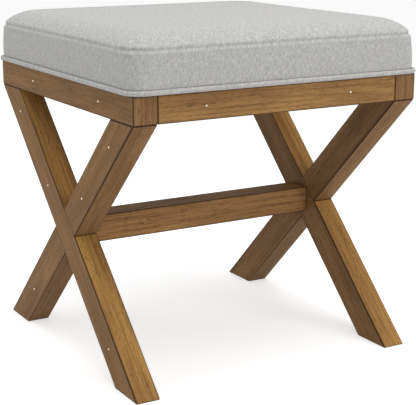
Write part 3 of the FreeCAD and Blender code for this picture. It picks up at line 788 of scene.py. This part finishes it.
@dataclass
class Cushion:
    """The foam seat with its wadding in a boxed linen cover, drawn round the seat board.

    Sizes out are beyond the frame's faces. The shape comes from its cross-section: a nearly
    flat top, a rounded shoulder, a sewn seam, a swelling side band, a foot tucked in behind the
    welt, and the cover turned in under the board.
    """

    cells: int = 40
    seam_out: float = 3.5 * MM
    seam_corner: float = 33.5 * MM
    foot_out: float = 2.8 * MM
    foot_corner: float = 21 * MM
    band_bulge: float = 1.0 * MM
    seam_draw: float = 2.0 * MM
    foot_draw: float = 0.5 * MM
    roll_width: float = 32 * MM
    roll_rise: float = 17.5 * MM
    roll_fullness: float = 1.56
    roll_corner_loss: float = 0.3
    dome_fullness: float = 5.35
    top_corner: float = 62 * MM
    groove_depth: float = 1.8 * MM
    groove_width: float = 2.3 * MM
    ridge_height: float = 0.35 * MM
    ridge_width: float = 2.2 * MM
    ridge_drop: float = 4.2 * MM
    welt_bite: float = 0.45 * MM
    skirt_out: float = 0.2 * MM
    turn_in: float = 30 * MM
    cloth: float = 1.2 * MM
    board_gap: float = 0.3 * MM
    press: float = 0.05 * MM
    least_corner: float = 2 * MM
    most_corner: float = 0.9
    grid_margin: float = 3.4 * MM
    grid_steps: int = 400
    shoulder_rows: tuple[float, ...] = (2.8 * MM, 1.9 * MM, 1.2 * MM, 0.6 * MM, 0.2 * MM)
    seam_rows: tuple[float, ...] = (0.0, 0.8 * MM, 1.6 * MM, 2.4 * MM, 3.4 * MM, 4.6 * MM, 6 * MM)
    band_rows: int = 8
    band_ends: float = 7 * MM
    board_rows: tuple[float, ...] = (0.0, 6 * MM, 60 * MM, 120 * MM, 180 * MM)
    swell_room: float = 1.0 * MM
    swell_cap: float = 4 * MM
    loosest: float = 0.35
    pressure: float = 4.0
    frames: int = 20
    half_x: float = field(init=False)
    half_y: float = field(init=False)
    foot: float = field(init=False)
    seam: float = field(init=False)
    crown: float = field(init=False)

    def __post_init__(self) -> None:
        """Reads the space that the plain solids hold."""
        low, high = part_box("left_side_rail")
        self.half_x, self.half_y = -low.x, high.y
        self.foot, self.seam = (corner.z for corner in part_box("cover_side_band"))
        self.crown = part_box("cover_top_panel")[1].z - self.swell_room

    def top_station(self, inward: float) -> Station:
        """The top's cross-section.

        Args:
            inward: Distance in from the seam, level, up to the middle.

        Returns:
            The row there.
        """
        half = min(self.half_x, self.half_y)
        width = half + self.seam_out
        dome = self.crown - self.seam - self.roll_rise
        at_roll = 1 - ((width - self.roll_width) / half) ** self.dome_fullness
        share = min(inward / self.roll_width, 1.0)
        rounded = (1 - (1 - share) ** self.roll_fullness) ** (1 / self.roll_fullness)
        level = self.seam + self.roll_rise * rounded
        corner = self.seam_corner * (1 - self.roll_corner_loss * share)
        if inward <= self.roll_width:
            level += dome * at_roll * share
            draw = self.seam_draw
        else:
            spread = (width - inward) / half
            level += dome * (1 - spread**self.dome_fullness)
            blend = min((inward - self.roll_width) / self.roll_width, 1.0)
            blend = blend * blend * (3 - 2 * blend)
            wider = corner + (self.top_corner * spread - corner) * blend
            corner = min(wider, self.most_corner * (width - inward))
            draw = self.seam_draw * spread
        return Station(self.seam_out - inward, level, corner, draw, 0.0)

    def band_station(self, drop: float) -> Station:
        """The side band's cross-section, at that distance down from the seam."""
        share = 1 - drop / (self.seam - self.foot)
        lean = (self.seam_out - self.foot_out) * share
        out = self.foot_out + lean + self.band_bulge * 4 * share * (1 - share)
        corner = self.foot_corner + (self.seam_corner - self.foot_corner) * share
        draw = self.foot_draw + (self.seam_draw - self.foot_draw) * share
        return Station(out, self.foot + (self.seam - self.foot) * share, corner, draw, 0.0)

    def seam_relief(self, along: float) -> float:
        """How far the seam stands out: its groove, and the ridge under it. Above it is positive."""
        groove = self.groove_depth * math.exp(-((along / self.groove_width) ** 2))
        ridge = self.ridge_height * math.exp(-(((along + self.ridge_drop) / self.ridge_width) ** 2))
        return ridge - groove

    def rows(self) -> list[Station]:
        """Every row outside the top's grid, from the shoulder to the middle of the underside."""
        rows = []
        for inward in self.shoulder_rows:
            rows.append(self.top_station(inward))
            rows[-1].out += self.seam_relief(rows[-1].level - self.seam)
        for drop in self.seam_rows:
            rows.append(self.band_station(drop))
            rows[-1].out += self.seam_relief(-drop)
        for row in rows:
            row.hold = 1.0
        height = self.seam - self.foot
        for i in range(1, self.band_rows + 1):
            drop = self.seam_rows[-1] + (height - self.band_ends) * i / self.band_rows
            rows.append(self.band_station(drop))
        rows.append(self.band_station(height))
        rows[-1].level -= self.welt_bite
        for row in rows[-2:]:
            row.hold = 1.0
        return rows + self.tuck_rows()

    def tuck_rows(self) -> list[Station]:
        """The rows behind the welt, under the board, up its edge and in over its top."""
        board_low, board_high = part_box("seat_board")
        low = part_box("cover_turnover")[0].z
        top = board_high.z + self.board_gap
        under = board_low.z - self.press
        inside = board_high.x - self.half_x + self.board_gap
        bite = self.foot - self.welt_bite
        skirt = self.skirt_out
        tuck = (
            (self.foot_out - 1.0 * MM, bite - 0.2 * MM),
            (skirt + 0.3 * MM, bite - 0.3 * MM),
            (skirt, bite - 0.9 * MM),
            (skirt, low + self.cloth),
            (skirt - 0.35 * MM, low + 0.25 * MM),
            (skirt - 1.0 * MM, low),
            (-self.turn_in / 2, low),
            (-self.turn_in, low),
            (-self.turn_in, under),
            (-self.turn_in / 2, under),
            (inside, under),
            (inside, (board_low.z + top) / 2),
            *((inside - inward, top) for inward in self.board_rows),
        )
        most = self.foot_corner
        rows = []
        for out, level in tuck:
            corner = max(min(most - self.foot_out + out, most), self.least_corner)
            rows.append(Station(out, level, corner, 0.0, 1.0))
        return rows

    def grid_inward(self, ring: int) -> float:
        """Distance in from the seam of a ring of the top's grid.

        Rings keep about the same spacing along the surface, so they crowd on the shoulder.

        Args:
            ring: From 0 at the middle to cells at the rim.

        Returns:
            The distance in.
        """
        steps, last = self.grid_steps, self.grid_margin
        width = min(self.half_x, self.half_y) + self.seam_out
        spots = [last + (width - last) * (i / steps) ** 2 for i in range(steps + 1)]
        lengths = [0.0]
        for near, far in zip(spots, spots[1:]):
            rise = self.top_station(far).level - self.top_station(near).level
            lengths.append(lengths[-1] + math.hypot(far - near, rise))
        wanted = lengths[-1] * (1 - ring / self.cells)
        return next((spot for spot, run in zip(spots, lengths) if run >= wanted), spots[-1])

    def build_blank(self, rows: Sequence[Station]) -> Piece:
        """A flat square grid with one level rim for each row under it, closed at the bottom.

        Args:
            rows: The rows that follow the grid.

        Returns:
            The blank, whose rows are one unit of height apart.
        """
        piece = add_grid("seat_cushion", 2 * self.cells)
        with editing(piece):
            bpy.ops.mesh.select_mode(type="EDGE")
            bpy.ops.mesh.select_all(action="DESELECT")
            bpy.ops.mesh.select_non_manifold()
            for _ in range(len(rows) + 1):
                bpy.ops.mesh.extrude_region_move(TRANSFORM_OT_translate={"value": (0, 0, -1)})
            bpy.ops.mesh.merge(type="CENTER")
        return piece

    def shape(self, piece: Piece, rows: Sequence[Station]) -> list[float]:
        """Moves the blank's points to the cushion's form and writes its cloth map.

        Args:
            piece: The blank.
            rows: The rows that follow the grid.

        Returns:
            For each point, how firmly it is held while the cloth swells.
        """
        rings = [self.top_station(self.grid_inward(ring)) for ring in range(self.cells + 1)]
        mesh = piece.data
        levels = [round(-vertex.co.z) for vertex in mesh.vertices]
        rims = [(vertex.co.x, vertex.co.y) for vertex in mesh.vertices]
        holds = []
        for vertex, level, (u, v) in zip(mesh.vertices, levels, rims):
            if level > len(rows):
                vertex.co = (0.0, 0.0, rows[-1].level)
                holds.append(1.0)
                continue
            if level == 0:
                ring = round(max(abs(u), abs(v)) * self.cells)
                station = rings[ring]
            else:
                station = rows[level - 1]
            holds.append(station.hold)
            if level == 0 and ring == 0:
                vertex.co = (0.0, 0.0, station.level)
                continue
            outline = Outline(
                self.half_x + station.out, self.half_y + station.out, station.corner, station.draw
            )
            x, y = outline.point(u, v)
            vertex.co = (x, y, station.level)
        self._map_cloth(piece, levels, rims)
        return holds

    def _map_cloth(
        self, piece: Piece, levels: Sequence[int], rims: Sequence[tuple[float, float]]
    ) -> None:
        """Writes the cloth's own coordinates: the top from above, the sides unrolled.

        Args:
            piece: The shaped piece.
            levels: Each point's row.
            rims: Each point's place on the unit square.
        """
        mesh = piece.data
        layer = mesh.uv_layers.new(name=UV_NAME)
        around = 4 * (self.half_x + self.half_y)
        for face in mesh.polygons:
            on_top = max(levels[i] for i in face.vertices) <= len(self.shoulder_rows)
            turns = [self._turn(*rims[i]) for i in face.vertices]
            for loop, index, turn in zip(face.loop_indices, face.vertices, turns):
                place = mesh.vertices[index].co
                if on_top:
                    layer.data[loop].uv = (place.x, place.y)
                    continue
                if turn < 0.25 and max(turns) > 0.75:
                    turn += 1.0
                layer.data[loop].uv = (turn * around, place.z)

    @staticmethod
    def _turn(u: float, v: float) -> float:
        """Share of the way round the unit square, starting in the middle of the back."""
        if abs(v) >= abs(u):
            share = u / abs(v) if v else 0.0
            eighth = share / 8 if v > 0 else 0.5 - share / 8
        else:
            share = v / abs(u)
            eighth = 0.25 - share / 8 if u > 0 else 0.75 + share / 8
        return eighth % 1.0

    def swell(self, piece: Piece, holds: Sequence[float]) -> None:
        """Lets the filling press the cloth out between its seams, and keeps the result.

        Args:
            piece: The shaped piece.
            holds: How firmly each point is held.
        """
        rest = [vertex.co.copy() for vertex in piece.data.vertices]
        group = piece.vertex_groups.new(name="sewn")
        for index, hold in enumerate(holds):
            group.add([index], max(hold, self.loosest), "REPLACE")
        take(piece)
        modifier = piece.modifiers.new("Filling", "CLOTH")
        cloth = modifier.settings
        cloth.quality = 6
        cloth.mass = 0.3
        cloth.tension_stiffness = 20
        cloth.compression_stiffness = 20
        cloth.shear_stiffness = 8
        cloth.bending_stiffness = 2
        cloth.use_pressure = True
        cloth.uniform_pressure_force = self.pressure
        cloth.vertex_group_mass = group.name
        cloth.effector_weights.gravity = 0
        modifier.collision_settings.use_collision = False
        for step in range(1, self.frames + 1):
            bpy.context.scene.frame_set(step)
        bpy.ops.object.modifier_apply(modifier=modifier.name)
        bpy.context.scene.frame_set(1)
        moved = 0.0
        for vertex, start in zip(piece.data.vertices, rest):
            step = vertex.co - start
            moved = max(moved, step.length)
            if step.length > self.swell_cap:
                vertex.co = start + step * (self.swell_cap / step.length)
        piece.vertex_groups.clear()
        LOG.info("%s: the cloth moved up to %.1f mm", piece.name, moved / MM)

    def build(self, finish: Finish) -> Piece:
        """Models, swells and dresses the cushion.

        Args:
            finish: What its cover looks like.

        Returns:
            The finished piece.
        """
        rows = self.rows()
        piece = self.build_blank(rows)
        holds = self.shape(piece, rows)
        self.swell(piece, holds)
        with editing(piece):
            bpy.ops.mesh.select_all(action="SELECT")
            bpy.ops.mesh.normals_make_consistent(inside=False)
        subdivide_smooth(piece)
        dress(piece, finish.material())
        cover = ("cover_side_band", "cover_top_panel", "cover_turnover")
        hand_over(piece, Slot.LINEN, *cover, "wadding", "foam_core")
        return piece


@dataclass
class Welt:
    """The covered cord round the foot of the cushion, its cover cut on the bias."""

    corner: float = 20 * MM
    step: float = 6 * MM
    corner_steps: int = 7
    sides: int = 16
    lump: float = 0.16 * MM
    lump_length: float = 14 * MM
    weld: float = 0.05 * MM

    def build(self, finish: Finish) -> Piece:
        """Models and dresses the welt: a ring pulled along the sides and spun at the corners.

        Args:
            finish: What its cover looks like.

        Returns:
            The finished piece.
        """
        low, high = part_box("welt_cord")
        radius = (high.z - low.z) / 2
        half_x, half_y = high.x - radius, high.y - radius
        level = (low.z + high.z) / 2
        deselect_all()
        bpy.ops.mesh.primitive_circle_add(
            vertices=self.sides,
            radius=radius,
            location=(self.corner - half_x, -half_y, level),
            rotation=(0.0, math.pi / 2, 0.0),
        )
        piece = just_added("seat_welt")
        bpy.ops.object.transform_apply(location=True, rotation=True, scale=True)
        ways = ((1, 0, half_x), (0, 1, half_y), (-1, 0, half_x), (0, -1, half_y))
        signs = ((1, -1), (1, 1), (-1, 1), (-1, -1))
        with editing(piece):
            bpy.ops.mesh.select_all(action="SELECT")
            for (way_x, way_y, half), (sign_x, sign_y) in zip(ways, signs):
                length = 2 * (half - self.corner)
                count = round(length / self.step)
                move = (way_x * length / count, way_y * length / count, 0.0)
                for _ in range(count):
                    bpy.ops.mesh.extrude_region_move(TRANSFORM_OT_translate={"value": move})
                centre = (sign_x * (half_x - self.corner), sign_y * (half_y - self.corner), level)
                bpy.ops.mesh.spin(
                    steps=self.corner_steps, angle=-math.pi / 2, center=centre, axis=(0.0, 0.0, 1.0)
                )
            bpy.ops.mesh.select_all(action="SELECT")
            bpy.ops.mesh.remove_doubles(threshold=self.weld)
            bpy.ops.mesh.normals_make_consistent(inside=False)
        self._map_cloth(piece, half_x, half_y, level, radius)
        for vertex in piece.data.vertices:
            swell = noise.noise(vertex.co / self.lump_length) * self.lump
            vertex.co += vertex.normal * swell
        subdivide_smooth(piece)
        dress(piece, finish.material())
        hand_over(piece, Slot.LINEN, "welt_cord")
        return piece

    def _map_cloth(
        self, piece: Piece, half_x: float, half_y: float, level: float, radius: float
    ) -> None:
        """Writes the cloth's own coordinates, along the cord and round it.

        Args:
            piece: The cord's mesh.
            half_x: Half size of its middle line in X.
            half_y: Half size of its middle line in Y.
            level: Height of its middle line.
            radius: Its radius.
        """
        layer = piece.data.uv_layers.new(name=UV_NAME)
        inner_x, inner_y = half_x - self.corner, half_y - self.corner
        for face in piece.data.polygons:
            middle = face.center
            for loop, index in zip(face.loop_indices, face.vertices):
                place = piece.data.vertices[index].co
                along = place.x - place.y if middle.x * middle.y < 0 else place.x + place.y
                near_x = max(-inner_x, min(inner_x, place.x))
                near_y = max(-inner_y, min(inner_y, place.y))
                out = max(abs(place.x) - half_x, abs(place.y) - half_y)
                if near_x != place.x and near_y != place.y:
                    out = math.hypot(place.x - near_x, place.y - near_y) - self.corner
                turn = math.atan2(place.z - level, out)
                layer.data[loop].uv = (along, turn * radius)


@dataclass
class DustCover:
    """Thin black cloth under the seat, held between the frame and the board, sagging a little."""

    cells: int = 46
    sag: float = 3.2 * MM
    sag_power: float = 1.6
    ripple: float = 0.5 * MM
    ripple_length: float = 60 * MM
    below: float = 0.02 * MM
    thinner: float = 0.1 * MM
    smooth_angle: float = math.radians(40)

    def build(self, finish: Finish) -> Piece:
        """Models and dresses the cloth.

        Args:
            finish: What it looks like.

        Returns:
            The finished piece.
        """
        low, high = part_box("dust_cover")
        thickness = high.z - low.z
        piece = add_grid("dust_cloth", self.cells)
        open_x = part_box("right_side_rail")[0].x
        open_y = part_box("back_apron")[0].y
        for vertex in piece.data.vertices:
            x, y = vertex.co.x * high.x, vertex.co.y * high.y
            hang = max(1 - (x / open_x) ** 2, 0.0) * max(1 - (y / open_y) ** 2, 0.0)
            spot = Vector((x, y, 0.0)) / self.ripple_length
            drop = (self.sag + self.ripple * noise.noise(spot)) * hang**self.sag_power
            vertex.co = (x, y, high.z - self.below - drop)
        apply_modifier(piece, "SOLIDIFY", thickness=thickness - self.thinner, offset=-1.0)
        take(piece)
        bpy.ops.object.shade_smooth_by_angle(angle=self.smooth_angle)
        dress(piece, finish.material())
        hand_over(piece, Slot.CAMBRIC, "dust_cover")
        return piece


# Floor, light and camera


@dataclass
class Studio:
    """A pale floor under a white sky, soft lamps, and the photograph's point of view.

    A lamp is its place, its width in metres and its power in watts.
    """

    camera_at: Point = (-0.8439, -1.4659, 0.6099)
    looks_at: Point = (0.0141, 0.0, 0.1910)
    lens: float = 102.35
    sensor: float = 36.0
    floor_size: float = 30.0
    floor_colour: str = "E9E9E9"
    floor_lift: float = 0.56
    sky: float = 0.58
    lamps: tuple[tuple[Point, float, float], ...] = (
        ((0.0, -0.3, 2.6), 2.4, 29.0),
        ((-2.4, 0.9, 1.3), 1.5, 6.5),
        ((1.2, -2.4, 1.3), 1.5, 14.5),
    )

    @staticmethod
    def _seen_directly(nodes: Nodes) -> Node:
        """One for rays from the camera, off gloss or through glass, and else zero."""
        path = nodes.add("LightPath").outputs
        seen = nodes.math("MAXIMUM", path["Is Camera Ray"], path["Is Glossy Ray"])
        return nodes.math("MAXIMUM", seen, path["Is Transmission Ray"])

    def _aim(self, item: Piece) -> None:
        """Turns a lamp or the camera to the point that is looked at."""
        way = Vector(self.looks_at) - item.location
        item.rotation_euler = way.to_track_quat("-Z", "Y").to_euler()

    def build_floor(self) -> None:
        """Adds the floor, which shows white where no shadow falls."""
        deselect_all()
        bpy.ops.mesh.primitive_plane_add(size=self.floor_size, location=(0, 0, 0))
        floor = just_added("floor")
        material, nodes = new_material("studio_floor")
        matt = nodes.add("BsdfDiffuse", inputs={"Color": linear(self.floor_colour)})
        lift = nodes.math("MULTIPLY", self._seen_directly(nodes), self.floor_lift)
        glow = nodes.add("Emission", inputs={"Strength": lift})
        nodes.close(nodes.add("AddShader", inputs={0: matt, 1: glow}))
        dress(floor, material)

    def build_sky(self) -> None:
        """Lights the scene evenly, with a sky that shows white itself."""
        world = bpy.data.worlds.new("studio_sky")
        bpy.context.scene.world = world
        world.use_nodes = True
        world.node_tree.nodes.clear()
        nodes = Nodes(world.node_tree)
        level = nodes.remap(self._seen_directly(nodes), end=(self.sky, 1.0))
        sky = nodes.add("Background", inputs={"Strength": level})
        nodes.add("OutputWorld", inputs={"Surface": sky})

    def build_lamps(self) -> None:
        """Adds the soft lamps: a large one overhead, and weaker ones on the left and the right."""
        for place, size, power in self.lamps:
            deselect_all()
            bpy.ops.object.light_add(type="AREA", location=place)
            lamp = just_added("soft_lamp")
            lamp.data.shape = "DISK"
            lamp.data.size = size
            lamp.data.energy = power
            self._aim(lamp)

    def build_camera(self) -> None:
        """Adds the camera at the photograph's place."""
        deselect_all()
        bpy.ops.object.camera_add(location=self.camera_at)
        camera = bpy.context.object
        self._aim(camera)
        camera.data.lens = self.lens
        camera.data.sensor_width = self.sensor
        bpy.context.scene.camera = camera

    def build(self) -> None:
        """Sets up the whole studio."""
        self.build_floor()
        self.build_sky()
        self.build_lamps()
        self.build_camera()
        bpy.context.scene.view_settings.view_transform = "Standard"


def main() -> None:
    """Builds the pieces in order."""
    logging.basicConfig(level=logging.INFO, format="%(message)s")
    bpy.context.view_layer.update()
    WoodenFrame().dress_all()
    Cushion().build(WovenLinen("linen_look_cover"))
    Welt().build(WovenLinen("linen_look_bias", turn=math.pi / 4, slub_length=9 * MM))
    DustCover().build(Cambric("black_cambric_cloth"))
    Studio().build()


if __name__ == "__main__":
    main()
